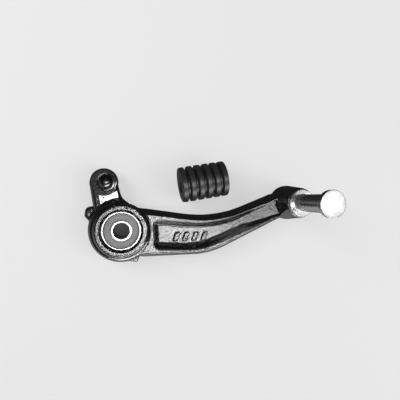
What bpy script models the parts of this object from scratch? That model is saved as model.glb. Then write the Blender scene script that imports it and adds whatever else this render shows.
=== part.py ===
"""Motorcycle gear shift lever: cast arm on two sealed ball bearings, steel toe peg, ball stud, rubber sleeve.

The lever lies on its back. +Z is the pivot axis, towards the peg's head, and +X runs from the pivot axis
to the peg's axis. Design coordinates start at the pivot axis on the hub's back face. The empty
"kit_origin" moves them, so that the world origin is below the middle of the whole kit.
"""
import bpy
import bmesh
import math
from mathutils import Matrix, Vector

MM = 0.001                      # every dimension below is in millimetres
GAP = 0.3                       # play left between two pieces that seat on each other
MIN_CORNER = 0.4                # smallest corner radius that an inset leaves

# Driving dimensions
PEG_X = 124.0                   # pivot axis to peg axis
STUD_XY = (-5.0, 32.9)          # ball stud axis, seen from the pivot axis
HUB_TOP = 21.0
HUB_RADIUS = 16.9
HUB_SKIRT_RADIUS = 22.0
ARM_BACK = 1.5
ARM_RIM = 15.0
POCKET_FLOOR = 7.0
POCKET_RISE_START = 86.0        # the floor climbs from here to the boss
POCKET_RISE_END = 118.0
POCKET_RISE = 6.2
RIM_INSET = 3.2                 # how far the arm's flank leans in from its widest line to the rim
BOSS_TOP = 27.0
BOSS_BASE_RADIUS = 12.8
BOSS_TOP_RADIUS = 10.2
RELIEF_BARS = 4                 # slanted bars cast on the pocket's floor
RELIEF_START = (34.5, -13.4)
RELIEF_PITCH = 6.4
RELIEF_SLOPE = -0.16
RELIEF_HEIGHT = 0.9
LINK_BACK = 4.6
LINK_BOSS_CENTRE = (-6.6, 33.0)  # the boss stands a little off the stud's axis
LINK_TOP = 12.6
LINK_RIB_TOP = 14.0
LINK_FLOOR_Z = 10.4             # height of the floor between the ribs at the hub
LINK_FLOOR_SLOPE = 0.14
STUD_SEAT_Z = 10.0              # floor of the round recess that the stud's collar sits in
STUD_BALL_RADIUS = 4.7
STUD_BALL_Z = 15.6

# Ball bearing, 10 x 26 x 8 mm
BEARING_BORE_RADIUS = 5.0
BEARING_RADIUS = 13.0
BEARING_WIDTH = 8.0
BALL_RADIUS = 2.38
BALL_PITCH_RADIUS = 9.0
BALL_COUNT = 7
OUTER_LAND_RADIUS = 11.4
INNER_LAND_RADIUS = 6.9
RACE_PLAY = 0.2                 # between a ball and the bottom of each raceway
SEAL_THICKNESS = 0.5
SEAL_RECESS = 0.25
CAGE_BACK = 3.0                 # from the balls' plane to the cage's back face
CAGE_FRONT = 1.2
REAR_BEARING_Z = 0.5            # back face of the rear bearing
FRONT_BEARING_Z = 10.0          # back face of the front bearing
COUNTERBORE_RADIUS = 13.9
STAKE_ANGLES = (12, 97, 210, 254)

# Toe peg
PEG_SHANK_RADIUS = 4.0
PEG_NECK_RADIUS = 5.9
PEG_COLLAR_RADIUS = 9.35
PEG_COLLAR_THICKNESS = 2.0
PEG_HEAD_RADIUS = 8.45
PEG_HEAD_Z = 61.2
PEG_TOP = 64.6

# Rubber sleeve, lying beside the arm
SLEEVE_RADIUS = 12.3
SLEEVE_GROOVE_RADIUS = 9.9
SLEEVE_BORE_RADIUS = 5.5
SLEEVE_RIBS = 6
SLEEVE_PITCH = 5.8
SLEEVE_RIB_WIDTH = 3.6
SLEEVE_CENTRE = (59.4, 24.4)
SLEEVE_TURN = 1.0               # degrees from the +X axis

# World origin, seen from the pivot axis on the hub's back face
KIT_CENTRE = (57.06, 7.96)


# ---------------------------------------------------------------- helpers

def clear_scene():
    for obj in list(bpy.data.objects):
        bpy.data.objects.remove(obj, do_unlink=True)


def material(name, colour, roughness, metallic):
    mat = bpy.data.materials.new(name)
    mat.use_nodes = True
    shader = mat.node_tree.nodes["Principled BSDF"]
    shader.inputs["Base Color"].default_value = (*colour, 1.0)
    shader.inputs["Roughness"].default_value = roughness
    shader.inputs["Metallic"].default_value = metallic
    return mat


def new_object(name, bm, parent, mat=None, sharp_degrees=35):
    """Turn a bmesh drawn in millimetres into an object in metres."""
    bmesh.ops.remove_doubles(bm, verts=bm.verts, dist=1e-5)
    bmesh.ops.recalc_face_normals(bm, faces=bm.faces)
    bmesh.ops.scale(bm, vec=(MM, MM, MM), verts=bm.verts)
    mesh = bpy.data.meshes.new(name)
    bm.to_mesh(mesh)
    bm.free()
    mesh.shade_smooth()
    mesh.set_sharp_from_angle(angle=math.radians(sharp_degrees))
    obj = bpy.data.objects.new(name, mesh)
    bpy.context.scene.collection.objects.link(obj)
    obj.parent = parent
    if mat:
        mesh.materials.append(mat)
    return obj


def empty(name, parent=None, location=(0, 0, 0)):
    obj = bpy.data.objects.new(name, None)
    bpy.context.scene.collection.objects.link(obj)
    obj.parent = parent
    obj.location = Vector(location) * MM
    return obj


def turned(profile, segments, first_angle=0.0):
    """Revolve (radius, height) points about Z. A profile that starts on the axis makes a solid,
    any other profile closes on itself and makes a ring."""
    bm = bmesh.new()
    on_axis = profile[0][0] == 0
    rings = []
    for radius, height in profile:
        if radius == 0:
            rings.append([bm.verts.new((0, 0, height))])
            continue
        ring = []
        for step in range(segments):
            angle = first_angle + 2 * math.pi * step / segments
            ring.append(bm.verts.new((radius * math.cos(angle), radius * math.sin(angle), height)))
        rings.append(ring)
    pairs = list(zip(rings, rings[1:]))
    if not on_axis:
        pairs.append((rings[-1], rings[0]))
    for low, high in pairs:
        flat_end = min(len(low), len(high)) == 1 and low[0].co.z == high[0].co.z
        if flat_end:
            bm.faces.new(max(low, high, key=len))
            bm.verts.remove(min(low, high, key=len)[0])
            continue
        for step in range(segments):
            nxt = (step + 1) % segments
            corners = [low[step % len(low)], low[nxt % len(low)], high[nxt % len(high)], high[step % len(high)]]
            corners = list(dict.fromkeys(corners))
            if len(corners) > 2:
                bm.faces.new(corners)
    return bm


def rounded_outline(corners, inset=0.0, step_degrees=9):
    """A closed counter-clockwise outline from (x, y, radius) corners, moved inwards by the inset.
    A corner becomes an arc, whose radius shrinks with the inset, or grows where the outline turns in."""
    outline = []
    count = len(corners)
    for index, (x, y, radius) in enumerate(corners):
        here = Vector((x, y))
        before = (Vector(corners[index - 1][:2]) - here).normalized()
        after = (Vector(corners[(index + 1) % count][:2]) - here).normalized()
        turns_in = before.cross(after) > 0
        half = before.angle(after) / 2
        bisector = (before + after).normalized() * (-1 if turns_in else 1)
        here = here + bisector * (inset / math.sin(half))
        if radius <= 0:
            outline.append(here)
            continue
        radius = radius + inset if turns_in else max(MIN_CORNER, radius - inset)
        inside = (before + after).normalized()
        centre = here + inside * (radius / math.sin(half))
        start = here + before * (radius / math.tan(half)) - centre
        sweep = math.pi - 2 * half
        turn = -1 if turns_in else 1
        steps = max(2, round(math.degrees(sweep) / step_degrees))
        for step in range(steps + 1):
            outline.append(centre + Matrix.Rotation(turn * sweep * step / steps, 2) @ start)
    return outline


def drafted(corners, layers, step_degrees=9):
    """A moulded form: the outline at each (height, inset) layer, joined by a drafted flank."""
    bm = bmesh.new()
    rings = []
    for height, inset in layers:
        outline = rounded_outline(corners, inset, step_degrees)
        rings.append([bm.verts.new((point.x, point.y, height)) for point in outline])
    bm.faces.new(rings[0])
    bm.faces.new(rings[-1])
    count = len(rings[0])
    for low, high in zip(rings, rings[1:]):
        for index in range(count):
            nxt = (index + 1) % count
            bm.faces.new((low[index], low[nxt], high[nxt], high[index]))
    return bm


def moved(bm, x=0.0, y=0.0, z=0.0):
    bmesh.ops.translate(bm, vec=(x, y, z), verts=bm.verts)
    return bm


def boolean(target, operation, tool):
    """Join or cut with a guide object, which stays in the file as a wire."""
    tool.hide_render = True
    tool.display_type = "WIRE"
    modifier = target.modifiers.new(tool.name, "BOOLEAN")
    modifier.operation = operation
    modifier.object = tool
    modifier.solver = "EXACT"


# ---------------------------------------------------------------- casting

def hub_profile():
    """Wide skirt, a shoulder that rounds in above the arm's rim, and a lightly tapered hub."""
    return [(0, 0), (HUB_SKIRT_RADIUS - 1.2, 0), (HUB_SKIRT_RADIUS, 1.2), (HUB_SKIRT_RADIUS, 5.5),
            (HUB_SKIRT_RADIUS - 0.2, 9.0), (HUB_SKIRT_RADIUS - 0.7, 12.2), (HUB_SKIRT_RADIUS - 1.5, 14.2),
            (HUB_SKIRT_RADIUS - 2.4, 15.2), (HUB_RADIUS + 2.0, 15.3), (HUB_RADIUS + 1.3, 15.8),
            (HUB_RADIUS + 0.8, 17.0), (HUB_RADIUS, HUB_TOP - 0.7), (HUB_RADIUS - 0.7, HUB_TOP), (0, HUB_TOP)]


def boss_profile():
    return [(0, 0), (BOSS_BASE_RADIUS - 1.6, 0), (BOSS_BASE_RADIUS - 0.4, 1.4), (BOSS_BASE_RADIUS, 5.0),
            (BOSS_BASE_RADIUS - 0.7, 11.0), (BOSS_TOP_RADIUS + 0.3, BOSS_TOP - 1.0),
            (BOSS_TOP_RADIUS - 0.3, BOSS_TOP - 0.2), (BOSS_TOP_RADIUS - 0.9, BOSS_TOP), (0, BOSS_TOP)]


def arm_form():
    """The arm's widest line runs down from the hub, round the crank, and up to the boss."""
    corners = [(2.0, 12.4, 0), (2.0, -16.9, 0), (11.0, -21.1, 8), (58.1, -27.5, 55), (118.0, -9.7, 6),
               (118.0, 9.8, 6), (65.8, -2.5, 85), (16.5, 12.1, 20)]
    return drafted(corners, [
        (ARM_BACK, 1.3), (ARM_BACK + 0.7, 0.4), (ARM_BACK + 2.2, 0.0), (6.0, 0.1), (9.5, 0.7),
        (12.5, 1.8), (14.3, RIM_INSET - 0.4), (ARM_RIM, RIM_INSET)], step_degrees=7)


def pocket_form(parent):
    """The pocket's cutter: drafted walls and a wide floor fillet. A wedge is taken off it, so that the floor
    climbs to the boss, and so are slots, which leave raised bars on the floor."""
    corners = [(21.6, 3.7, 3.2), (19.4, -16.4, 4.0), (52.0, -22.6, 50), (118.0, -6.3, 2.0),
               (118.0, 4.6, 2.0), (62.2, -5.8, 80)]
    pocket = new_object("arm_pocket", drafted(corners, [
        (POCKET_FLOOR, 4.3), (POCKET_FLOOR + 0.5, 3.1), (POCKET_FLOOR + 1.8, 2.1), (POCKET_FLOOR + 4.0, 1.2),
        (ARM_RIM, 0.0), (ARM_RIM + 1.0, -0.5)], step_degrees=7), parent)
    rise = bmesh.new()
    outline = [(POCKET_RISE_START, POCKET_FLOOR), (POCKET_RISE_END + 2, POCKET_FLOOR + POCKET_RISE),
               (POCKET_RISE_END + 2, 0.0), (POCKET_RISE_START, 0.0)]
    near = [rise.verts.new((x, -30.0, z)) for x, z in outline]
    far = [rise.verts.new((x, 30.0, z)) for x, z in outline]
    rise.faces.new(near)
    rise.faces.new(far)
    for index in range(4):
        nxt = (index + 1) % 4
        rise.faces.new((near[index], near[nxt], far[nxt], far[index]))
    boolean(pocket, "DIFFERENCE", new_object("pocket_rise", rise, parent))
    for number in range(RELIEF_BARS):
        along = RELIEF_PITCH * number
        x = RELIEF_START[0] + along
        y = RELIEF_START[1] + RELIEF_SLOPE * along
        bar = [(x, y, 0.7), (x + 1.9, y, 0.7), (x + 4.4, y + 4.4, 0.7), (x + 2.5, y + 4.4, 0.7)]
        tool = new_object(f"relief_bar_{number + 1}", drafted(bar, [
            (POCKET_FLOOR - 1.0, -0.3), (POCKET_FLOOR + RELIEF_HEIGHT, 0.25)], step_degrees=30), parent)
        boolean(pocket, "DIFFERENCE", tool)
    return pocket


def link_pocket():
    """Cutter between the link's two ribs. Its floor falls towards the hub."""
    outline = [(-11.6, 17.0), (-2.6, 19.6), (5.2, 14.6), (5.6, 17.6), (-0.6, 22.4), (-1.6, 30.0), (-12.2, 30.0)]
    bm = bmesh.new()
    floor = [bm.verts.new((x, y, LINK_FLOOR_Z + LINK_FLOOR_SLOPE * (y - outline[0][1]))) for x, y in outline]
    brim = [bm.verts.new((x, y, LINK_RIB_TOP + 2.0)) for x, y in outline]
    bm.faces.new(floor)
    bm.faces.new(brim)
    for index in range(len(outline)):
        nxt = (index + 1) % len(outline)
        bm.faces.new((floor[index], floor[nxt], brim[nxt], brim[index]))
    return bm


def lever_arm(parent, mat):
    arm = new_object("lever_arm", arm_form(), parent, mat)

    def join(name, bm):
        boolean(arm, "UNION", new_object(name, bm, parent))

    def cut(name, bm):
        boolean(arm, "DIFFERENCE", new_object(name, bm, parent))

    join("hub_form", turned(hub_profile(), 44))
    boolean(arm, "DIFFERENCE", pocket_form(parent))
    join("boss_form", moved(turned(boss_profile(), 32), x=PEG_X))
    join("link_web_form", drafted(
        [(-16.0, 12.0, 0), (4.0, 8.0, 0), (10.6, 13.5, 0), (3.2, 21.5, 8), (1.5, 36.0, 0), (-16.2, 35.0, 0)],
        [(LINK_BACK, 0.8), (LINK_BACK + 1.0, 0.0), (8.5, 0.1), (11.5, 0.7), (13.2, 1.5), (LINK_RIB_TOP, 2.3)]))
    cut("link_pocket", link_pocket())
    join("link_boss_form", moved(turned([
        (0, LINK_BACK - 0.3), (8.2, LINK_BACK - 0.3), (9.2, LINK_BACK + 0.9), (9.4, 8.0), (9.0, 10.6),
        (8.1, LINK_TOP - 0.7), (7.2, LINK_TOP), (0, LINK_TOP)], 26), *LINK_BOSS_CENTRE))
    join("stop_lug_form", drafted(
        [(-9.0, 18.6, 0), (-21.2, 18.6, 3.4), (-22.9, 12.6, 2.6), (-17.5, 4.5, 0), (-9.0, 4.5, 0)],
        [(3.2, 0.9), (4.0, 0.0), (7.0, 0.3), (9.0, 1.4), (10.2, 2.9)]))
    join("pry_tab_form", drafted(
        [(-7.0, -20.0, 0), (-2.5, -22.0, 0), (7.0, -24.9, 0.8), (9.8, -20.6, 0), (4.0, -14.0, 0)],
        [(0.9, 0.0), (3.0, 0.2), (4.0, 1.2)]))
    cut("bearing_bores", turned([
        (0, -1.0), (BEARING_RADIUS + 0.9, -1.0), (BEARING_RADIUS + GAP / 2, 0.3),
        (BEARING_RADIUS + GAP / 2, REAR_BEARING_Z + BEARING_WIDTH),
        (BEARING_RADIUS - 1.6, REAR_BEARING_Z + BEARING_WIDTH),
        (BEARING_RADIUS - 1.6, FRONT_BEARING_Z - GAP), (BEARING_RADIUS + GAP / 2, FRONT_BEARING_Z - GAP),
        (BEARING_RADIUS + GAP / 2, FRONT_BEARING_Z + BEARING_WIDTH),
        (COUNTERBORE_RADIUS - 0.1, FRONT_BEARING_Z + BEARING_WIDTH + 0.3),
        (COUNTERBORE_RADIUS, HUB_TOP + 1.0), (0, HUB_TOP + 1.0)], 44, 0.05))
    for number, degrees in enumerate(STAKE_ANGLES, 1):
        angle = math.radians(degrees)
        reach = COUNTERBORE_RADIUS + 0.1
        cut(f"stake_mark_{number}", moved(
            turned([(0, HUB_TOP - 1.1), (0.55, HUB_TOP - 0.9), (0.9, HUB_TOP + 0.5), (0, HUB_TOP + 0.5)], 9, angle),
            reach * math.cos(angle), reach * math.sin(angle)))
    cut("peg_bore", moved(turned([
        (0, -1.0), (PEG_SHANK_RADIUS + 2.6, -1.0), (PEG_SHANK_RADIUS + 1.9, 2.2), (PEG_SHANK_RADIUS + GAP, 2.2),
        (PEG_SHANK_RADIUS + GAP, BOSS_TOP + 1.0), (0, BOSS_TOP + 1.0)], 24, 0.07), x=PEG_X))
    cut("stud_bore", moved(turned([
        (0, LINK_BACK - 2.0), (3.0 + GAP, LINK_BACK - 2.0), (3.0 + GAP, STUD_SEAT_Z), (5.7, STUD_SEAT_Z),
        (6.0, LINK_TOP + 4.0), (0, LINK_TOP + 4.0)], 24, 0.07), *STUD_XY))
    return arm


# ---------------------------------------------------------------- bearings

def raceway(side, steps=3):
    """Points of the ball groove's arc; side is +1 on the outer ring and -1 on the inner ring."""
    radius = BALL_RADIUS + RACE_PLAY
    land = OUTER_LAND_RADIUS if side > 0 else INNER_LAND_RADIUS
    shoulder = land - 0.6 * side
    half = math.acos((shoulder - BALL_PITCH_RADIUS) * side / radius)
    points = []
    for step in range(steps + 1):
        angle = half * (2 * step / steps - 1)
        points.append((BALL_PITCH_RADIUS + side * radius * math.cos(angle),
                       BEARING_WIDTH / 2 + radius * math.sin(angle)))
    return points


def ring(name, side, parent, mat, z):
    """One bearing ring: chamfered outside, with a seal step at each face and the ball groove inside."""
    face = OUTER_LAND_RADIUS if side > 0 else INNER_LAND_RADIUS
    back = BEARING_RADIUS - GAP / 2 if side > 0 else BEARING_BORE_RADIUS
    seal_step = SEAL_RECESS + SEAL_THICKNESS + GAP
    chamfer = 0.4 if side > 0 else 0.6
    inner_wall = [(face, chamfer / 2), (face, seal_step), (face - 0.6 * side, seal_step)]
    far_wall = [(r, BEARING_WIDTH - h) for r, h in reversed(inner_wall)]
    profile = [(back, chamfer), (back - chamfer * side, 0), (face + chamfer / 2 * side, 0), *inner_wall, *raceway(side),
               *far_wall, (face + chamfer / 2 * side, BEARING_WIDTH), (back - chamfer * side, BEARING_WIDTH),
               (back, BEARING_WIDTH - chamfer)]
    obj = new_object(name, turned(profile, 26), parent, mat)
    obj.location.z = z * MM
    return obj


def seal(name, parent, mat, z, facing):
    """Thin washer with a raised lip at its inner edge; facing is +1 where it looks up."""
    inner = INNER_LAND_RADIUS + GAP
    outer = OUTER_LAND_RADIUS - GAP
    top = SEAL_THICKNESS
    profile = [(inner, 0), (outer, 0), (outer, top - 0.15), (outer - 0.5, top), (inner + 1.0, top - 0.12),
               (inner, top - 0.12)]
    profile = [(r, h * facing) for r, h in profile]
    obj = new_object(name, turned(profile, 24), parent, mat)
    obj.location.z = z * MM
    return obj


def cage(name, parent, mat, z):
    """Crown cage: a thin ring behind the balls, with a snap-in pocket for each ball."""
    inner = BALL_PITCH_RADIUS - 0.8
    outer = BALL_PITCH_RADIUS + 0.8
    pocket_radius = BALL_RADIUS + RACE_PLAY
    obj = new_object(name, turned([
        (inner, -CAGE_BACK), (outer, -CAGE_BACK), (outer, CAGE_FRONT), (inner, CAGE_FRONT)], 28), parent, mat)
    for number in range(BALL_COUNT):
        angle = 2 * math.pi * number / BALL_COUNT
        window = bmesh.new()
        bmesh.ops.create_cone(window, cap_ends=True, segments=12, radius1=pocket_radius,
                              radius2=pocket_radius, depth=6,
                              matrix=Matrix.Rotation(angle, 4, "Z") @ Matrix.Translation((BALL_PITCH_RADIUS, 0, 0.0))
                              @ Matrix.Rotation(math.pi / 2, 4, "Y"))
        tool = new_object(f"{name}_window_{number + 1}", window, parent)
        tool.location.z = z * MM
        boolean(obj, "DIFFERENCE", tool)
    obj.location.z = z * MM
    return obj


def ball(name, parent, mat, angle, z):
    bm = bmesh.new()
    bmesh.ops.create_uvsphere(bm, u_segments=10, v_segments=6, radius=BALL_RADIUS)
    obj = new_object(name, bm, parent, mat, sharp_degrees=80)
    obj.location = Vector((BALL_PITCH_RADIUS * math.cos(angle), BALL_PITCH_RADIUS * math.sin(angle), z)) * MM
    return obj


def bearing(which, z, core, lever, ball_set, mats):
    """Sealed deep-groove bearing whose back face is at height z."""
    middle = z + BEARING_WIDTH / 2
    ring(f"{which}_outer_ring", 1, lever, mats["steel"], z)
    ring(f"{which}_inner_ring", -1, core, mats["steel"], z)
    seal(f"{which}_bearing_front_seal", lever, mats["seal"],
         z + BEARING_WIDTH - SEAL_RECESS - SEAL_THICKNESS, 1)
    seal(f"{which}_bearing_back_seal", lever, mats["seal"], z + SEAL_RECESS + SEAL_THICKNESS, -1)
    cage(f"{which}_ball_cage", ball_set, mats["cage"], middle)
    for number in range(BALL_COUNT):
        ball(f"{which}_ball_{number + 1}", ball_set, mats["steel"], 2 * math.pi * number / BALL_COUNT, middle)


def inner_spacer(parent, mat):
    low = REAR_BEARING_Z + BEARING_WIDTH + GAP
    high = FRONT_BEARING_Z - GAP
    new_object("inner_spacer", turned([
        (BEARING_BORE_RADIUS + 0.2, low), (INNER_LAND_RADIUS - 0.3, low), (INNER_LAND_RADIUS - 0.3, high),
        (BEARING_BORE_RADIUS + 0.2, high)], 24), parent, mat)


# ---------------------------------------------------------------- peg, stud, nut and sleeve

def toe_peg(parent, mat):
    collar = BOSS_TOP + GAP
    collar_top = collar + PEG_COLLAR_THICKNESS
    profile = [(0, 0.3), (4.6, 0.3), (5.3, 0.8), (5.4, 1.9), (PEG_SHANK_RADIUS, 1.9), (PEG_SHANK_RADIUS, collar),
               (PEG_COLLAR_RADIUS - 0.4, collar), (PEG_COLLAR_RADIUS, collar + 0.5),
               (PEG_COLLAR_RADIUS, collar_top - 0.5), (PEG_COLLAR_RADIUS - 0.5, collar_top),
               (PEG_NECK_RADIUS + 0.5, collar_top), (PEG_NECK_RADIUS, collar_top + 0.5),
               (PEG_NECK_RADIUS, PEG_HEAD_Z - 1.6), (PEG_NECK_RADIUS - 0.6, PEG_HEAD_Z - 1.2),
               (PEG_NECK_RADIUS - 0.6, PEG_HEAD_Z), (PEG_HEAD_RADIUS - 0.3, PEG_HEAD_Z),
               (PEG_HEAD_RADIUS, PEG_HEAD_Z + 0.3), (PEG_HEAD_RADIUS, PEG_TOP - 0.6),
               (PEG_HEAD_RADIUS - 0.6, PEG_TOP), (0, PEG_TOP)]
    obj = new_object("toe_peg", turned(profile, 26), parent, mat)
    obj.location.x = PEG_X * MM
    return obj


def hexagon(name, flats, low, high, hole_radius, parent, mat):
    """A nut: hexagonal prism with a bore."""
    bm = bmesh.new()
    corner = flats / 2 / math.cos(math.pi / 6)
    bmesh.ops.create_cone(bm, cap_ends=True, segments=6, radius1=corner, radius2=corner, depth=high - low,
                          matrix=Matrix.Translation((0, 0, (high + low) / 2)))
    obj = new_object(name, bm, parent, mat)
    bore = new_object(f"{name}_bore", turned([
        (0, low - 1), (hole_radius, low - 1), (hole_radius, high + 1), (0, high + 1)], 20), parent)
    boolean(obj, "DIFFERENCE", bore)
    return obj, bore


def ball_stud(parent, mats):
    """Linkage ball on a threaded shank: collar in the boss's recess, ball above it, nut behind it."""
    base = STUD_SEAT_Z + GAP
    neck = 2.6
    neck_angle = math.acos(neck / STUD_BALL_RADIUS)
    profile = [(0, 0.4), (2.5, 0.4), (3.0, 0.9), (3.0, base), (4.9, base), (5.3, base + 0.3), (5.2, base + 0.9),
               (4.4, base + 1.3)]
    for step in range(7):
        angle = -neck_angle + (math.pi / 2 + neck_angle) * step / 6
        profile.append((STUD_BALL_RADIUS * math.cos(angle), STUD_BALL_Z + STUD_BALL_RADIUS * math.sin(angle)))
    profile[-1] = (0, STUD_BALL_Z + STUD_BALL_RADIUS)
    obj = new_object("ball_stud", turned(profile, 20), parent, mats["stud"])
    obj.location = (STUD_XY[0] * MM, STUD_XY[1] * MM, 0)
    for piece in hexagon("ball_stud_nut", 10.0, 1.0, LINK_BACK - 0.3 - GAP, 3.0 + GAP, parent, mats["zinc"]):
        piece.location = obj.location


def rubber_sleeve(parent, mat):
    """Ribbed tube; its axis lies level, one rib radius above the floor."""
    half = SLEEVE_RIB_WIDTH / 2
    first = -SLEEVE_PITCH * (SLEEVE_RIBS - 1) / 2
    profile = [(SLEEVE_BORE_RADIUS, first - half)]
    for number in range(SLEEVE_RIBS):
        middle = first + SLEEVE_PITCH * number
        foot = SLEEVE_BORE_RADIUS + 1.5 if number == 0 else SLEEVE_GROOVE_RADIUS
        profile += [(foot, middle - half), (SLEEVE_RADIUS - 0.6, middle - half), (SLEEVE_RADIUS, middle - half + 0.6),
                    (SLEEVE_RADIUS, middle + half - 0.6), (SLEEVE_RADIUS - 0.6, middle + half)]
        if number < SLEEVE_RIBS - 1:
            profile.append((SLEEVE_GROOVE_RADIUS, middle + half))
    profile.append((SLEEVE_BORE_RADIUS, -first + half))
    obj = new_object("rubber_sleeve", turned(profile, 24), parent, mat)
    obj.rotation_euler = (0, math.pi / 2, math.radians(SLEEVE_TURN))
    obj.location = Vector((*SLEEVE_CENTRE, SLEEVE_RADIUS)) * MM


# ---------------------------------------------------------------- assembly

def build():
    clear_scene()
    mats = {
        "paint": material("gloss_black_paint", (0.012, 0.012, 0.014), 0.22, 0.0),
        "steel": material("bearing_steel", (0.62, 0.62, 0.63), 0.18, 1.0),
        "seal": material("grey_seal", (0.32, 0.32, 0.33), 0.55, 0.0),
        "cage": material("cage_polyamide", (0.55, 0.50, 0.38), 0.5, 0.0),
        "zinc": material("bright_steel", (0.78, 0.78, 0.77), 0.24, 1.0),
        "stud": material("black_oxide_steel", (0.03, 0.03, 0.033), 0.3, 0.6),
        "rubber": material("black_rubber", (0.02, 0.02, 0.021), 0.6, 0.0),
    }
    kit = empty("kit_origin", location=(-KIT_CENTRE[0], -KIT_CENTRE[1], 0))
    core = empty("pivot_core", kit)
    lever = empty("lever", kit)
    front_set = empty("front_ball_set", kit)
    rear_set = empty("rear_ball_set", kit)
    lever_arm(lever, mats["paint"])
    bearing("front", FRONT_BEARING_Z, core, lever, front_set, mats)
    bearing("rear", REAR_BEARING_Z, core, lever, rear_set, mats)
    inner_spacer(core, mats["zinc"])
    toe_peg(lever, mats["zinc"])
    ball_stud(lever, mats)
    rubber_sleeve(kit, mats["rubber"])


build()
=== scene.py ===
"""Looks of the gear shift lever: fine cast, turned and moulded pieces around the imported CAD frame.

Lengths are in millimetres and become metres in new_piece(). A piece is drawn round its own centre,
which is read from the CAD nodes, and then rides on its CAD body.
"""
import math

import bmesh
import bpy
from mathutils import Matrix, Vector, noise as field


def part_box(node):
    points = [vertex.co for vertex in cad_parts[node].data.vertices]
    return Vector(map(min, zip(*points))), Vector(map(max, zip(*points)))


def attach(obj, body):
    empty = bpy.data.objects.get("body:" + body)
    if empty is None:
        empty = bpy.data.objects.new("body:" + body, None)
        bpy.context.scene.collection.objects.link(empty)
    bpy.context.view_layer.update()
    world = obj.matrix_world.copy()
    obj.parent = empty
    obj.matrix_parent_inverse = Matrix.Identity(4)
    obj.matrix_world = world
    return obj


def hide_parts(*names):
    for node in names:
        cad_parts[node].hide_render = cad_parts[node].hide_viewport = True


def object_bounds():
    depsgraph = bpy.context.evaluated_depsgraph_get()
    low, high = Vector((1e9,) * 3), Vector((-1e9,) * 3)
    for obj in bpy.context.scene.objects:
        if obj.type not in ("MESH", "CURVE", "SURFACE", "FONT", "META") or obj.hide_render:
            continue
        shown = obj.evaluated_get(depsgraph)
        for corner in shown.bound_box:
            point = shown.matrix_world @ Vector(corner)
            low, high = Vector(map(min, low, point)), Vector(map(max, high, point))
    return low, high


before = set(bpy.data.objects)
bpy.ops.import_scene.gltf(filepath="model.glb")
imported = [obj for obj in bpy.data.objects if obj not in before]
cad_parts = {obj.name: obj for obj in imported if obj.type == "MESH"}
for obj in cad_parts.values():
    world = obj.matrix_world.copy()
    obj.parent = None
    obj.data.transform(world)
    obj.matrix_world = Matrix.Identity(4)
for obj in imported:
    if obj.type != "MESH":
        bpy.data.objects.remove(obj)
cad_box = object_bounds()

MM = 0.001


def middle(node):
    """Centre of a CAD node's box, in millimetres."""
    low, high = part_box(node)
    return (Vector(low) + Vector(high)) / 2 / MM


PIVOT = middle("front_outer_ring")
PEG = middle("toe_peg")
STUD = middle("ball_stud")
SLEEVE = middle("rubber_sleeve")
PIVOT.z = PEG.z = STUD.z = 0.0
REACH = PEG.x - PIVOT.x

# ---------------------------------------------------------------- camera, light and floor

CAMERA_FROM_PIVOT = Vector((8.76, 21.05, 238.0))
CAMERA_FORWARD = Vector((0.2040, -0.0391, -0.9782))
CAMERA_UP = Vector((0.1469, 0.9891, -0.0089))
LENS = 29.7

ROOM_LIGHT = 0.40               # what matt surfaces see all round
CEILING = [(0.0, 0.0), (0.06, 0.01), (0.6, 0.03), (0.86, 0.08), (1.0, 0.14)]   # (sine of elevation, reflected value)
SHEET_GLOW = 0.45               # reflected value of the pale sheet below, on the near side
FLOOR_GLOW = 0.50
FLOOR_DROP = 0.0002             # the floor lies just under the object, so that nothing touches it
BORE_SHADE = (9.0, 17.0)        # painted shade: the floor's glow fades between these radii from the pivot, so the floor seen through the bore is dark

# name, place, what it points at, size, watts
MATT_LIGHTS = [
    ("left_key", (-0.55, 0.35, 0.55), (0.0, 0.0, 0.0), (0.4, 0.4), 2.6),
    ("right_fill", (0.60, -0.30, 0.60), (0.0, 0.0, 0.0), (0.5, 0.5), 2.2)]
GLOSS_LIGHTS = [
    ("gloss_ceiling", (0.02, -0.11, 0.75), (0.02, -0.11, 0.0), (0.32, 0.13), 1.60),
    ("gloss_right", (0.255, -0.065, 0.75), (0.255, -0.065, 0.0), (0.15, 0.07), 0.40),
    ("gloss_far_right", (0.56, -0.09, 0.75), (0.56, -0.09, 0.0), (0.28, 0.26), 0.48),
    ("gloss_low_card", (0.10, -0.62, 0.30), (0.0, 0.0, 0.0), (0.9, 0.20), 4.0)]


def make_camera():
    data = bpy.data.cameras.new("camera")
    data.lens = LENS
    data.sensor_width = 36.0
    data.clip_start = 0.01
    camera = bpy.data.objects.new("camera", data)
    back = -CAMERA_FORWARD.normalized()
    right = CAMERA_UP.cross(back).normalized()
    up = back.cross(right)
    turn = Matrix((right, up, back)).transposed()
    camera.matrix_world = Matrix.Translation((PIVOT + CAMERA_FROM_PIVOT) * MM) @ turn.to_4x4()
    bpy.context.scene.collection.objects.link(camera)
    bpy.context.scene.camera = camera


def area_light(name, at, aim, size, watts, diffuse=True, glossy=True):
    data = bpy.data.lights.new(name, "AREA")
    data.shape = "RECTANGLE"
    data.size, data.size_y = size
    data.energy = watts
    light = bpy.data.objects.new(name, data)
    light.location = at
    light.rotation_euler = (Vector(aim) - Vector(at)).to_track_quat("-Z", "Y").to_euler()
    light.visible_diffuse = diffuse
    light.visible_glossy = glossy
    bpy.context.scene.collection.objects.link(light)


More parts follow.
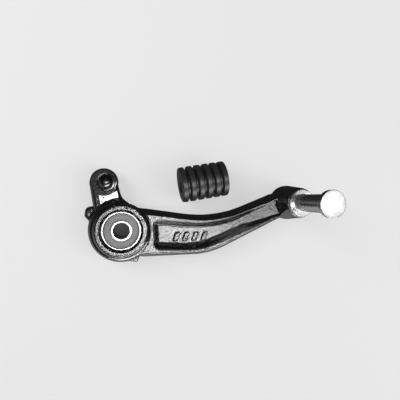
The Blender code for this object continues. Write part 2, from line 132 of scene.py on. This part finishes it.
def make_world():
    """An even room for diffuse light. Reflections see a dim ceiling, and a pale sheet below on the near side."""
    world = bpy.data.worlds.new("studio")
    bpy.context.scene.world = world
    world.use_nodes = True
    tree = world.node_tree
    background = tree.nodes["Background"]
    path = node(tree, "LightPath")
    direction = node(tree, "TexCoord").outputs["Generated"]
    split = node(tree, "SeparateXYZ")
    tree.links.new(direction, split.inputs[0])
    ceiling = node(tree, "ValToRGB")
    for index, (place, value) in enumerate(CEILING):
        stop = ceiling.color_ramp.elements[index] if index < 2 else ceiling.color_ramp.elements.new(place)
        stop.position = place
        stop.color = (value, value, value, 1)
    tree.links.new(split.outputs["Z"], ceiling.inputs["Fac"])
    side = node(tree, "VectorMath", operation="DOT_PRODUCT")
    tree.links.new(direction, side.inputs[0])
    side.inputs[1].default_value = (-0.5, -0.85, 0.0)
    near = ramp(tree, side.outputs["Value"], -0.1, 0.9, 0.02, SHEET_GLOW)
    below = ramp(tree, split.outputs["Z"], -0.02, 0.06, 1.0, 0.0)
    both = arithmetic(tree, "ADD", ceiling.outputs["Color"], arithmetic(tree, "MULTIPLY", near, below))
    mix = node(tree, "MixRGB")
    mix.inputs["Color1"].default_value = (*[ROOM_LIGHT] * 3, 1)
    tree.links.new(path.outputs["Is Glossy Ray"], mix.inputs["Fac"])
    tree.links.new(both, mix.inputs["Color2"])
    tree.links.new(mix.outputs[0], background.inputs["Color"])


def make_floor():
    """A pale sheet that glows a little, as a light table does, so that shadows stay faint. Under the hub the glow
    fades to a spot of painted shade, so that the bore looks dark."""
    bm = bmesh.new()
    bmesh.ops.create_grid(bm, x_segments=1, y_segments=1, size=3.0)
    mesh = bpy.data.meshes.new("floor")
    bm.to_mesh(mesh)
    bm.free()
    floor = bpy.data.objects.new("floor", mesh)
    bpy.context.scene.collection.objects.link(floor)
    floor.location.z = cad_box[0][2] - FLOOR_DROP
    floor.visible_glossy = False
    mat, tree, shader = principled("floor_paper", (0.40, 0.40, 0.40), 0.9, Specular_IOR_Level=0.0,
                                   Emission_Color=(1, 1, 1, 1))
    distance = node(tree, "VectorMath", operation="LENGTH")
    tree.links.new(object_coords(tree, (PIVOT.x, PIVOT.y, 0)), distance.inputs[0])
    # Painted shade: the glow drops almost to nothing under the hub, so the bore looks dark.
    glow = ramp(tree, distance.outputs["Value"], *BORE_SHADE, 0.02, FLOOR_GLOW)
    tree.links.new(glow, shader.inputs["Emission Strength"])
    mesh.materials.append(mat)


def make_studio():
    """Two soft side lights for the matt surfaces, and softboxes overhead that only the gloss sees."""
    make_world()
    make_floor()
    for light in MATT_LIGHTS:
        area_light(*light, glossy=False)
    for light in GLOSS_LIGHTS:
        area_light(*light, diffuse=False)
    bpy.context.scene.view_settings.view_transform = "Standard"


# ---------------------------------------------------------------- materials

def principled(name, colour, roughness, metallic=0.0, **sockets):
    mat = bpy.data.materials.new(name)
    mat.use_nodes = True
    shader = mat.node_tree.nodes["Principled BSDF"]
    shader.inputs["Base Color"].default_value = (*colour, 1)
    shader.inputs["Roughness"].default_value = roughness
    shader.inputs["Metallic"].default_value = metallic
    for socket, value in sockets.items():
        shader.inputs[socket.replace("_", " ")].default_value = value
    return mat, mat.node_tree, shader


def node(tree, kind, **values):
    made = tree.nodes.new("ShaderNode" + kind)
    for key, value in values.items():
        if hasattr(made, key):
            setattr(made, key, value)
        else:
            made.inputs[key.replace("_", " ")].default_value = value
    return made


def object_coords(tree, centre=(0, 0, 0)):
    """Coordinates in millimetres from a centre given in millimetres."""
    coords = node(tree, "TexCoord")
    scaled = node(tree, "Mapping")
    scaled.inputs["Scale"].default_value = (1 / MM,) * 3
    scaled.inputs["Location"].default_value = tuple(-c for c in centre)
    tree.links.new(coords.outputs["Object"], scaled.inputs["Vector"])
    return scaled.outputs["Vector"]


def noise(tree, coords, scale, detail=3.0, rough=0.55):
    made = node(tree, "TexNoise", Scale=scale, Detail=detail, Roughness=rough)
    tree.links.new(coords, made.inputs["Vector"])
    return made.outputs["Fac"]


def ramp(tree, value, low, high, out_low, out_high):
    made = node(tree, "MapRange")
    for name, number in (("From Min", low), ("From Max", high), ("To Min", out_low), ("To Max", out_high)):
        made.inputs[name].default_value = number
    tree.links.new(value, made.inputs["Value"])
    return made.outputs["Result"]


def arithmetic(tree, operation, one, other):
    made = node(tree, "Math", operation=operation)
    tree.links.new(one, made.inputs[0])
    tree.links.new(other, made.inputs[1])
    return made.outputs[0]


def bump(tree, shader, height, distance, strength=1.0, onto=None, sockets=("Normal",)):
    made = node(tree, "Bump")
    made.inputs["Strength"].default_value = strength
    made.inputs["Distance"].default_value = distance * MM
    tree.links.new(height, made.inputs["Height"])
    if onto:
        tree.links.new(onto, made.inputs["Normal"])
    for socket in sockets:
        tree.links.new(made.outputs["Normal"], shader.inputs[socket])
    return made.outputs["Normal"]


def paint_material():
    """Gloss black paint that has flowed over the grain of a sand-cast surface. The grain is strong on the
    faces that look up from the mould's floor, and weak on the drafted flanks and on the link. It gets
    coarser towards the peg."""
    mat, tree, shader = principled("gloss_black_paint", (0.006, 0.006, 0.007), 0.2, Coat_Weight=1.0,
                                   Coat_IOR=2.3, Coat_Roughness=0.07, Specular_IOR_Level=0.5)
    coords = object_coords(tree, PIVOT)
    grain = noise(tree, coords, 0.68, 4.0, 0.6)
    peel = noise(tree, coords, 0.30, 2.0, 0.5)
    tree.links.new(ramp(tree, grain, 0.35, 0.7, 0.12, 0.30), shader.inputs["Roughness"])
    facing = node(tree, "SeparateXYZ")
    tree.links.new(node(tree, "NewGeometry").outputs["True Normal"], facing.inputs[0])
    upward = ramp(tree, facing.outputs["Z"], 0.80, 0.98, 0.10, 1.0)
    place = node(tree, "SeparateXYZ")
    tree.links.new(coords, place.inputs[0])
    off_link = ramp(tree, place.outputs["Y"], 17.0, 20.0, 1.0, 0.15)
    off_lug = ramp(tree, place.outputs["X"], -18.6, -17.0, 0.15, 1.0)
    coarse_end = ramp(tree, place.outputs["X"], 66.0, 90.0, 1.0, 1.8)
    height = grain
    for mask in (upward, off_link, off_lug, coarse_end):
        height = arithmetic(tree, "MULTIPLY", height, mask)
    first = bump(tree, shader, peel, 0.20, 0.5)
    bump(tree, shader, height, 0.42, 0.8, onto=first, sockets=("Normal", "Coat Normal"))
    return mat


def turned_material(name, colour, roughness, centre, line_scale=3.0, depth=0.01):
    """Metal with fine lathe lines round the Z axis through its centre."""
    mat, tree, shader = principled(name, colour, roughness, 1.0)
    coords = object_coords(tree, centre)
    split = node(tree, "SeparateXYZ")
    tree.links.new(coords, split.inputs[0])
    flat = node(tree, "CombineXYZ")
    tree.links.new(split.outputs["X"], flat.inputs["X"])
    tree.links.new(split.outputs["Y"], flat.inputs["Y"])
    radius = node(tree, "VectorMath", operation="LENGTH")
    tree.links.new(flat.outputs[0], radius.inputs[0])
    lines = node(tree, "CombineXYZ")
    tree.links.new(radius.outputs["Value"], lines.inputs["X"])
    tree.links.new(split.outputs["Z"], lines.inputs["Y"])
    height = noise(tree, lines.outputs[0], line_scale, 5.0, 0.7)
    stain = noise(tree, coords, 0.3, 3.0, 0.6)
    tree.links.new(ramp(tree, stain, 0.3, 0.7, roughness * 0.75, roughness * 1.35), shader.inputs["Roughness"])
    bump(tree, shader, height, depth, 0.5)
    return mat


def moulded_material(name, colour, roughness, grain_scale=2.2, depth=0.05, tint=0.25, **sockets):
    """Rubber or plastic with a fine moulded grain and slight colour variation."""
    mat, tree, shader = principled(name, colour, roughness, **sockets)
    coords = object_coords(tree)
    grain = noise(tree, coords, grain_scale, 5.0, 0.65)
    patches = noise(tree, coords, 0.12, 2.0, 0.5)
    mix = node(tree, "MixRGB")
    mix.inputs["Color1"].default_value = (*[c * (1 - tint) for c in colour], 1)
    mix.inputs["Color2"].default_value = (*[min(1, c * (1 + tint)) for c in colour], 1)
    tree.links.new(patches, mix.inputs["Fac"])
    tree.links.new(mix.outputs[0], shader.inputs["Base Color"])
    tree.links.new(ramp(tree, grain, 0.3, 0.7, roughness * 0.85, roughness * 1.15), shader.inputs["Roughness"])
    bump(tree, shader, grain, depth, 0.6)
    return mat


# ---------------------------------------------------------------- mesh helpers

def mesh_object(name, bm, mat=None, sharp_degrees=40):
    """A bmesh in metres becomes a shaded object in the scene."""
    bmesh.ops.remove_doubles(bm, verts=bm.verts, dist=1e-7)
    bmesh.ops.recalc_face_normals(bm, faces=bm.faces)
    mesh = bpy.data.meshes.new(name)
    bm.to_mesh(mesh)
    bm.free()
    mesh.shade_smooth()
    mesh.set_sharp_from_angle(angle=math.radians(sharp_degrees))
    made = bpy.data.objects.new(name, mesh)
    bpy.context.scene.collection.objects.link(made)
    if mat:
        mesh.materials.append(mat)
    return made


def placed(bm, centre, turn=None):
    """Move a drawing in millimetres to its centre, and scale it to metres."""
    place = Matrix.Diagonal((MM, MM, MM, 1)) @ Matrix.Translation(centre)
    if turn:
        place = place @ turn
    bmesh.ops.transform(bm, matrix=place, verts=bm.verts)
    return bm


def declare(piece, body, replaces=()):
    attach(piece, body)
    if replaces:
        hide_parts(*replaces)


def new_piece(name, bm, mat, centre, body, replaces=(), sharp_degrees=40, turn=None):
    """A bmesh in millimetres round its own centre becomes a piece that rides on a CAD body."""
    piece = mesh_object(name, placed(bm, centre, turn), mat, sharp_degrees)
    declare(piece, body, replaces)
    return piece


def turned(profile, segments=96, first_angle=0.0):
    """Revolve (radius, height) points about Z; a profile that starts on the axis makes a solid."""
    bm = bmesh.new()
    on_axis = profile[0][0] == 0
    rings = []
    for radius, height in profile:
        count = 1 if radius == 0 else segments
        rings.append([bm.verts.new((
            radius * math.cos(first_angle + 2 * math.pi * step / segments),
            radius * math.sin(first_angle + 2 * math.pi * step / segments), height)) for step in range(count)])
    pairs = list(zip(rings, rings[1:]))
    if not on_axis:
        pairs.append((rings[-1], rings[0]))
    for low, high in pairs:
        for step in range(segments):
            nxt = (step + 1) % segments
            corners = [low[step % len(low)], low[nxt % len(low)], high[nxt % len(high)], high[step % len(high)]]
            corners = list(dict.fromkeys(corners))
            if len(corners) > 2:
                bm.faces.new(corners)
    return bm


def softened(profile, radius, steps=4, closed=False):
    """Round a profile's inner corners by a small radius, as an edge break does."""
    count = len(profile)
    result = [] if closed else [profile[0]]
    for index in range(count if closed else count - 2):
        if closed:
            before, here, after = profile[index - 1], profile[index], profile[(index + 1) % count]
        else:
            before, here, after = profile[index:index + 3]
        p, a, b = Vector(here), Vector(before), Vector(after)
        reach = min(radius, (a - p).length * 0.45, (b - p).length * 0.45)
        start = p + (a - p).normalized() * reach
        end = p + (b - p).normalized() * reach
        for step in range(steps + 1):
            t = step / steps
            point = start * (1 - t) ** 2 + p * 2 * t * (1 - t) + end * t ** 2
            result.append((point.x, point.y))
    if not closed:
        result.append(profile[-1])
    return result


def rounded_outline(corners, inset, step_degrees):
    """A closed counter-clockwise outline from (x, y, radius) corners, moved inwards by the inset."""
    outline = []
    count = len(corners)
    for index, (x, y, radius) in enumerate(corners):
        here = Vector((x, y))
        before = (Vector(corners[index - 1][:2]) - here).normalized()
        after = (Vector(corners[(index + 1) % count][:2]) - here).normalized()
        turns_in = before.cross(after) > 0
        half = before.angle(after) / 2
        inside = (before + after).normalized()
        here = here + inside * (inset / math.sin(half)) * (-1 if turns_in else 1)
        if radius <= 0:
            outline.append(here)
            continue
        radius = radius + inset if turns_in else max(0.4, radius - inset)
        centre = here + inside * (radius / math.sin(half))
        start = here + before * (radius / math.tan(half)) - centre
        sweep = math.pi - 2 * half
        steps = max(3, round(math.degrees(sweep) / step_degrees))
        for step in range(steps + 1):
            turn = Matrix.Rotation((-1 if turns_in else 1) * sweep * step / steps, 2)
            outline.append(centre + turn @ start)
    return outline


def drafted(corners, layers, step_degrees=3):
    """A moulded form: the outline at each (height, inset) layer, joined by a drafted flank."""
    bm = bmesh.new()
    rings = []
    for height, inset in layers:
        outline = rounded_outline(corners, inset, step_degrees)
        rings.append([bm.verts.new((point.x, point.y, height)) for point in outline])
    bm.faces.new(rings[0])
    bm.faces.new(rings[-1])
    count = len(rings[0])
    for low, high in zip(rings, rings[1:]):
        for index in range(count):
            nxt = (index + 1) % count
            bm.faces.new((low[index], low[nxt], high[nxt], high[index]))
    return bm


def prism(outline, floors, tops):
    """A form with a straight wall, whose floor and top have their own height at each corner."""
    bm = bmesh.new()
    low = [bm.verts.new((x, y, z)) for (x, y), z in zip(outline, floors)]
    high = [bm.verts.new((x, y, z)) for (x, y), z in zip(outline, tops)]
    bm.faces.new(low)
    bm.faces.new(high)
    for index in range(len(outline)):
        nxt = (index + 1) % len(outline)
        bm.faces.new((low[index], low[nxt], high[nxt], high[index]))
    return bm


def moved(bm, x=0.0, y=0.0, z=0.0):
    bmesh.ops.translate(bm, vec=(x, y, z), verts=bm.verts)
    return bm


def combine(target, operation, tool, solver="EXACT"):
    """Join or cut with an object, or with a drawing in millimetres round the pivot, and bake the result."""
    if isinstance(tool, bmesh.types.BMesh):
        tool = mesh_object("tool", placed(tool, PIVOT))
    modifier = target.modifiers.new("tool", "BOOLEAN")
    modifier.operation = operation
    modifier.object = tool
    modifier.solver = solver
    bake(target)
    bpy.data.objects.remove(tool, do_unlink=True)


def bake(target):
    graph = bpy.context.evaluated_depsgraph_get()
    mesh = bpy.data.meshes.new_from_object(target.evaluated_get(graph))
    target.modifiers.clear()
    target.data = mesh


# ---------------------------------------------------------------- casting

HUB_TOP = 21.0
LEDGE_TOP = 15.25               # the skirt is cut back below this, beside the link
ARM_RIM = 15.0
POCKET_FLOOR = 7.0
POCKET_RISE = (86.0, 117.0)     # the floor climbs between these distances from the pivot
RISE_TOP = 12.9
SKIN = 0.36                     # size of the voxels that the cast skin is rebuilt from
RELAX_STEPS = 7
SEAT_TURN = 0.003               # turns a cutter a little, so that its corners don't meet another form's
RELIEF_BARS = 4                 # plain bars on the pocket's floor
BAR_STEP = (6.6, -1.02)
WEB_FLOOR, WEB_SLOPE = 10.6, 0.11

# Chips in the paint: (x, y, z, radius)
PITS = [(46.8, -21.2, 15.0, 0.6), (25.2, -18.9, 15.0, 0.3), (-13.3, -7.7, 20.9, 0.6), (14.0, 5.2, 20.9, 0.7),
        (-2.6, 14.9, 20.9, 0.55), (5.6, 14.3, 20.9, 0.7), (-15.2, 3.0, 20.9, 0.25), (3.0, -15.5, 20.9, 0.3)]


def hub_form():
    return turned(softened([
        (0, 0), (21.9, 0), (22.0, 5.5), (21.8, 9.0), (21.3, 12.2), (20.5, 14.2), (19.6, 15.2), (18.9, 15.3),
        (18.2, 15.8), (17.7, 17.0), (16.95, HUB_TOP), (0, HUB_TOP)], 0.9), 160)


def skirt_cutback():
    outline = [(-4.0, 30.0), (-1.0, 19.5), (7.7, 16.1), (13.0, 12.9), (21.5, 10.2), (34.0, 6.5), (34.0, 30.0)]
    return prism(outline, [-1.0] * len(outline), [LEDGE_TOP] * len(outline))


def boss_form():
    return moved(turned(softened([
        (0, 0), (12.4, 0), (12.8, 5.0), (12.1, 11.0), (10.6, 25.4), (10.1, 27.0), (0, 27.0)], 1.2), 128), x=REACH)


def arm_form():
    corners = [(2.0, 12.4, 0), (2.0, -16.9, 0), (11.0, -21.1, 8), (58.1, -27.5, 55), (118.0, -9.7, 6),
               (118.0, 9.8, 6), (65.8, -2.5, 85), (16.5, 12.1, 20)]
    return drafted(corners, [
        (1.5, 1.3), (1.8, 0.8), (2.3, 0.35), (3.2, 0.05), (4.5, 0.0), (6.0, 0.1), (8.0, 0.35), (10.0, 0.85),
        (12.0, 1.6), (13.4, 2.3), (14.3, 2.8), (14.8, 3.1), (ARM_RIM, 3.5)])


def pocket_form():
    corners = [(21.6, 3.7, 3.2), (19.4, -16.4, 4.0), (52.0, -22.6, 50), (118.0, -6.3, 2.0),
               (118.0, 4.6, 2.0), (62.2, -5.8, 80)]
    return drafted(corners, [
        (POCKET_FLOOR, 4.3), (7.2, 3.6), (7.6, 3.05), (8.3, 2.5), (9.2, 2.0), (11.0, 1.3), (13.5, 0.5),
        (ARM_RIM, 0.0), (ARM_RIM + 1.0, -0.5)])


def pocket_rise():
    """The wedge by which the pocket's floor climbs to the peg boss."""
    start, end = POCKET_RISE
    return prism([(start, -12.5), (end, -8.0), (end, 5.5), (start, 0.0)], [3.0] * 4,
                 [POCKET_FLOOR, RISE_TOP, RISE_TOP, POCKET_FLOOR])


def link_form():
    return drafted([(-16.0, 12.0, 0), (4.0, 8.0, 0), (10.6, 13.5, 0), (3.2, 21.5, 8), (1.5, 36.0, 0), (-16.2, 35.0, 0)],
                   [(4.6, 0.8), (5.0, 0.2), (5.8, 0.0), (8.5, 0.1), (11.0, 0.5), (12.4, 1.1), (13.2, 1.8), (13.6, 2.6)])


def link_boss_form():
    return moved(turned(softened([
        (0, 4.3), (8.9, 4.3), (9.3, 8.0), (9.0, 10.6), (8.7, 13.6), (0, 13.6)], 0.6), 96), -6.5, 33.4)


def stop_lug_form():
    return drafted([(-9.0, 18.6, 0), (-21.2, 18.6, 3.4), (-22.9, 12.6, 2.6), (-17.5, 4.5, 0), (-9.0, 4.5, 0)],
                   [(3.2, 0.9), (4.0, 0.0), (7.0, 0.2), (8.6, 0.6), (9.3, 1.1), (9.6, 1.8)])


def pry_tab_form():
    return drafted([(-7.0, -20.0, 0), (-2.5, -22.0, 0), (7.0, -24.9, 0.8), (9.8, -20.6, 0), (4.0, -14.0, 0)],
                   [(0.9, 0.0), (2.6, 0.1), (3.4, 0.5), (4.0, 1.4)])


def relief_bar(number):
    x, y = 33.5 + BAR_STEP[0] * number, -13.9 + BAR_STEP[1] * number
    corners = [(x, y, 0.6), (x + 2.9, y, 0.6), (x + 5.7, y + 5.4, 0.6), (x + 2.8, y + 5.4, 0.6)]
    return drafted(corners, [(6.0, -1.1), (7.0, -0.8), (8.6, -0.1), (8.8, 0.0), (8.9, 0.3)], 15)


def bearing_seats():
    """Both bearing bores, with a rib between them and a moat round the front one."""
    return turned([
        (0, -1.0), (13.9, -1.0), (13.15, 0.3), (13.15, 8.5), (11.4, 8.5), (11.4, 9.7), (13.15, 9.7), (13.15, 15.6),
        (14.0, 16.0), (14.1, 20.7), (14.25, 22.0), (0, 22.0)], 160, SEAT_TURN)


def peg_seat():
    return moved(turned([
        (0, -1.0), (6.6, -1.0), (5.9, 2.2), (4.3, 2.2), (4.3, 28.0), (0, 28.0)], 96, SEAT_TURN), x=REACH)


def stud_seat():
    return moved(turned([
        (0, 2.6), (3.3, 2.6), (3.3, 9.8), (6.15, 9.8), (6.2, 16.6), (0, 16.6)], 96, SEAT_TURN),
        STUD.x - PIVOT.x, STUD.y - PIVOT.y)


def link_web():
    """The crisp recess between the link's ribs."""
    outline = [(-10.5, 18.7), (-8.0, 20.0), (-3.0, 21.3), (1.2, 21.5), (1.0, 26.1), (-1.0, 25.5), (-3.5, 24.4),
               (-6.5, 24.0), (-9.0, 24.4), (-10.7, 25.0)]
    return prism(outline, [WEB_FLOOR + WEB_SLOPE * (y - 17.0) for _, y in outline], [16.0] * len(outline))


def pit(x, y, z, radius):
    return moved(turned([
        (0, -radius * 2), (radius * 0.7, -radius * 1.6), (radius, 0), (radius, radius * 2), (0, radius * 2)], 12),
        x, y, z)


def relaxed_skin(cast):
    """Rebuild the joined forms from small voxels and relax them, which leaves the soft fillets of a casting."""
    skin = cast.modifiers.new("skin", "REMESH")
    skin.mode = "VOXEL"
    skin.voxel_size = SKIN * MM
    skin.use_smooth_shade = True
    relax = cast.modifiers.new("relax", "SMOOTH")
    relax.factor = 0.5
    relax.iterations = RELAX_STEPS
    bake(cast)


def weather(mesh):
    """Low, uneven swells that a cast and painted surface has; the link is calmer."""
    for vert, normal in zip(mesh.vertices, [v.normal.copy() for v in mesh.vertices]):
        place = vert.co / MM
        calm = 0.3 if place.y > PIVOT.y + 19.0 else 1.0
        swell = calm * (field.noise(place * 0.16) * 0.06 + field.noise(place * 0.55) * 0.018)
        vert.co += normal * swell * MM


def cast_lever(mat):
    """The whole casting as one skin. Its soft forms are joined and relaxed first, and then the relief bars
    are added and the machined seats are cut sharp."""
    cast = mesh_object("cast_lever", placed(arm_form(), PIVOT))
    hub = mesh_object("hub", placed(hub_form(), PIVOT))
    combine(hub, "DIFFERENCE", skirt_cutback())
    combine(cast, "UNION", hub)
    combine(cast, "DIFFERENCE", pocket_form())
    for form in (pocket_rise, boss_form, link_form, link_boss_form, stop_lug_form, pry_tab_form):
        combine(cast, "UNION", form())
    relaxed_skin(cast)
    weather(cast.data)
    for number in range(RELIEF_BARS):
        combine(cast, "UNION", relief_bar(number), "MANIFOLD")
    for seat in (bearing_seats, peg_seat, stud_seat, link_web):
        combine(cast, "DIFFERENCE", seat(), "MANIFOLD")
    for place_and_radius in PITS:
        combine(cast, "DIFFERENCE", pit(*place_and_radius), "MANIFOLD")
    cast.data.shade_smooth()
    cast.data.set_sharp_from_angle(angle=math.radians(32))
    cast.data.materials.clear()
    cast.data.materials.append(mat)
    declare(cast, "lever", ["lever_arm"])


# ---------------------------------------------------------------- bearings

FRONT_BEARING_Z = 10.0
REAR_BEARING_Z = 0.5
BEARING_WIDTH = 8.0
SEAL_TICKS = 7                  # plain moulded ticks, where such a shield carries its size mark
FIRST_TICK, TICK_STEP = 112, 13     # degrees


def bearing_ring(name, side, z, body, cad_node, mat):
    """Ground ring with rounded edges; the groove for the balls is hidden behind the seals. The side is 1 for
    an outer ring and -1 for an inner one."""
    face, back = (11.7, 12.85) if side > 0 else (6.75, 5.0)
    slant = 0.25 if side > 0 else 0.4
    profile = softened([
        (back, 0.5), (back - slant * side, 0), (face, 0), (face, 1.05), (face - 0.7 * side, 1.05),
        (face - 0.7 * side, 6.95), (face, 6.95), (face, BEARING_WIDTH), (back - slant * side, BEARING_WIDTH),
        (back, 7.5)], 0.2, 4, closed=True)
    bm = turned([(radius, height + z) for radius, height in profile], 144)
    new_piece(name, bm, mat, PIVOT, body, [cad_node], sharp_degrees=50)


def seal_washer(name, z, facing, cad_node, mat):
    """Rubber shield: flat band, a shallow moulded groove and a lip that meets the inner ring."""
    profile = [(7.05, -0.47), (11.5, -0.47), (11.5, -0.42), (10.95, -0.40), (10.8, 0.0), (10.1, 0.0), (9.95, -0.1),
               (9.8, 0.0), (8.2, 0.0), (8.0, -0.10), (7.75, -0.10), (7.6, -0.02), (7.45, -0.38), (7.05, -0.40)]
    profile = softened(profile, 0.06, 2, closed=True)
    bm = turned([(radius, z + height * facing) for radius, height in profile], 128)
    for number in range(SEAL_TICKS):
        bar = bmesh.ops.create_cube(bm, size=1.0)["verts"]
        bmesh.ops.scale(bm, vec=(0.9, 0.35, 0.24), verts=bar)
        bmesh.ops.translate(bm, vec=(9.0, 0, z), verts=bar)
        bmesh.ops.rotate(bm, matrix=Matrix.Rotation(math.radians(FIRST_TICK + TICK_STEP * number), 3, "Z"), verts=bar)
    new_piece(name, bm, mat, PIVOT, "lever", [cad_node])


# ---------------------------------------------------------------- turned parts and sleeve

STUD_BALL_RADIUS = 4.7
STUD_BALL_Z = 15.6
STUD_NECK_RADIUS = 2.6
THREAD_TURNS = 7
THREAD_PITCH = 0.5
NUT_LOW, NUT_HIGH = 1.0, 4.0
NUT_HALF_WIDTH = 5.0            # across the flats
SLEEVE_RIBS = 6
SLEEVE_PITCH = 5.66
SLEEVE_HALF_LENGTH = 15.95
SLEEVE_RADIUS, SLEEVE_GROOVE, SLEEVE_BORE = 12.25, 9.4, 5.5


def peg_piece(mat):
    """Peened shank, collar, neck and head. The extra ring at the head's middle keeps its shading even."""
    profile = softened([
        (0, 0.3), (4.6, 0.3), (5.3, 0.8), (5.4, 1.9), (4.0, 1.9), (4.0, 27.3), (9.35, 27.3), (9.35, 29.3),
        (6.1, 29.3), (5.9, 29.9), (5.9, 59.6), (5.3, 60.0), (5.3, 61.2), (8.45, 61.2), (8.45, 64.6), (0, 64.6)],
        0.35, 4)
    profile = profile[:-1] + [(1.0, 64.6), (0, 64.6)]
    new_piece("turned_peg", turned(profile, 144), mat, PEG, "lever", ["toe_peg"], 50)


def stud_piece(mat):
    """Thread, collar with a conical top, and a ball on a neck."""
    neck = math.acos(STUD_NECK_RADIUS / STUD_BALL_RADIUS)
    thread = []
    for turn in range(THREAD_TURNS):
        thread += [(2.95, 0.95 + THREAD_PITCH * turn), (2.62, 1.2 + THREAD_PITCH * turn)]
    profile = [(0, 0.4), (2.4, 0.4), *thread, (3.0, 4.6), (3.0, 10.3), (5.8, 10.3), (6.0, 10.45), (5.95, 10.75),
               (3.4, 11.2), (3.1, 11.3)]
    for step in range(25):
        angle = -neck + (math.pi / 2 + neck) * step / 24
        profile.append((STUD_BALL_RADIUS * math.cos(angle), STUD_BALL_Z + STUD_BALL_RADIUS * math.sin(angle)))
    profile[-1] = (0, 20.3)
    new_piece("turned_ball_stud", turned(profile, 96), mat, STUD, "lever", ["ball_stud"], 50)


def nut_piece(mat):
    """Hexagon between two chamfer cones, with a countersunk bore."""
    low, high = NUT_LOW, NUT_HIGH
    segments = 96
    rows = [[], [], [], [], [], []]
    for step in range(segments):
        angle = 2 * math.pi * step / segments
        reach = NUT_HALF_WIDTH / math.cos((angle % (math.pi / 3)) - math.pi / 6)
        drop = max(0.0, (reach - NUT_HALF_WIDTH) * 0.58)
        ends = [(3.3, low + 0.35), (3.65, low), (4.95, low), (reach, low + drop), (reach, high - drop), (4.95, high)]
        for row, (radius, z) in zip(rows, ends):
            row.append((radius * math.cos(angle), radius * math.sin(angle), z))
    rows += [[(x / 4.95 * 3.65, y / 4.95 * 3.65, high) for x, y, _ in rows[5]],
             [(x / 4.95 * 3.3, y / 4.95 * 3.3, high - 0.35) for x, y, _ in rows[5]]]
    bm = bmesh.new()
    rows = [[bm.verts.new(point) for point in row] for row in rows]
    count = len(rows[0])
    for near, far in zip(rows, rows[1:] + rows[:1]):
        for index in range(count):
            nxt = (index + 1) % count
            bm.faces.new((near[index], near[nxt], far[nxt], far[index]))
    new_piece("stud_nut", bm, mat, STUD, "lever", ["ball_stud_nut"], 30)


def sleeve_piece(mat):
    """Moulded tube with full ribs; every rib is rounded and the grooves have round roots."""
    profile = [(SLEEVE_BORE, -SLEEVE_HALF_LENGTH), (6.6, -SLEEVE_HALF_LENGTH)]
    for number in range(SLEEVE_RIBS):
        at = -14.15 + SLEEVE_PITCH * number
        profile += [(SLEEVE_RADIUS, at - 1.8), (SLEEVE_RADIUS, at + 1.8)]
        if number < SLEEVE_RIBS - 1:
            profile += [(SLEEVE_GROOVE, at + 1.9), (SLEEVE_GROOVE, at + 3.76)]
    profile[2:3] = [(11.9, -SLEEVE_HALF_LENGTH)]
    profile.append((SLEEVE_BORE, SLEEVE_HALF_LENGTH))
    profile = softened(profile, 0.75, 6, closed=True)
    turn = Matrix.Rotation(math.radians(1.0), 4, "Z") @ Matrix.Rotation(math.pi / 2, 4, "Y")
    new_piece("ribbed_sleeve", turned(profile, 144), mat, SLEEVE, "sleeve", ["rubber_sleeve"],
              60, turn)


# ---------------------------------------------------------------- run

make_camera()
make_studio()

PAINT = paint_material()
RACE = turned_material("bearing_steel", (0.50, 0.50, 0.51), 0.24, PIVOT)
SEAL = moulded_material("seal_rubber", (0.31, 0.30, 0.31), 0.5, tint=0.12)
CAGE = moulded_material("cage_plastic", (0.62, 0.56, 0.42), 0.5)
PEG_STEEL = turned_material("turned_steel", (0.80, 0.80, 0.78), 0.24, PEG, 1.2, 0.0015)
ZINC = turned_material("zinc_steel", (0.72, 0.73, 0.74), 0.3, STUD)
BLACK_STEEL = turned_material("black_steel", (0.17, 0.17, 0.175), 0.22, STUD)
RUBBER = moulded_material("sleeve_rubber", (0.022, 0.022, 0.023), 0.40, depth=0.04, Specular_IOR_Level=0.8)

for name, cad_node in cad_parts.items():
    if "seal" in name:
        mat = SEAL
    elif "cage" in name:
        mat = CAGE
    elif name == "ball_stud":
        mat = BLACK_STEEL
    elif name in ("ball_stud_nut", "inner_spacer"):
        mat = ZINC
    elif name == "toe_peg":
        mat = PEG_STEEL
    elif name == "lever_arm":
        mat = PAINT
    elif name == "rubber_sleeve":
        mat = RUBBER
    else:
        mat = RACE
    cad_node.data.materials.clear()
    cad_node.data.materials.append(mat)

cast_lever(PAINT)
bearing_ring("front_outer_race", 1, FRONT_BEARING_Z, "lever", "front_outer_ring", RACE)
bearing_ring("front_inner_race", -1, FRONT_BEARING_Z, "pivot_core", "front_inner_ring", RACE)
bearing_ring("rear_outer_race", 1, REAR_BEARING_Z, "lever", "rear_outer_ring", RACE)
bearing_ring("rear_inner_race", -1, REAR_BEARING_Z, "pivot_core", "rear_inner_ring", RACE)
seal_washer("front_shield", 17.75, 1, "front_bearing_front_seal", SEAL)
seal_washer("rear_shield", 0.75, -1, "rear_bearing_back_seal", SEAL)
new_piece("core_spacer", turned(softened([(5.2, 8.8), (6.6, 8.8), (6.6, 9.7), (5.2, 9.7)], 0.1, 2, closed=True), 96),
          ZINC, PIVOT, "pivot_core", ["inner_spacer"])
peg_piece(PEG_STEEL)
stud_piece(BLACK_STEEL)
nut_piece(ZINC)
sleeve_piece(RUBBER)
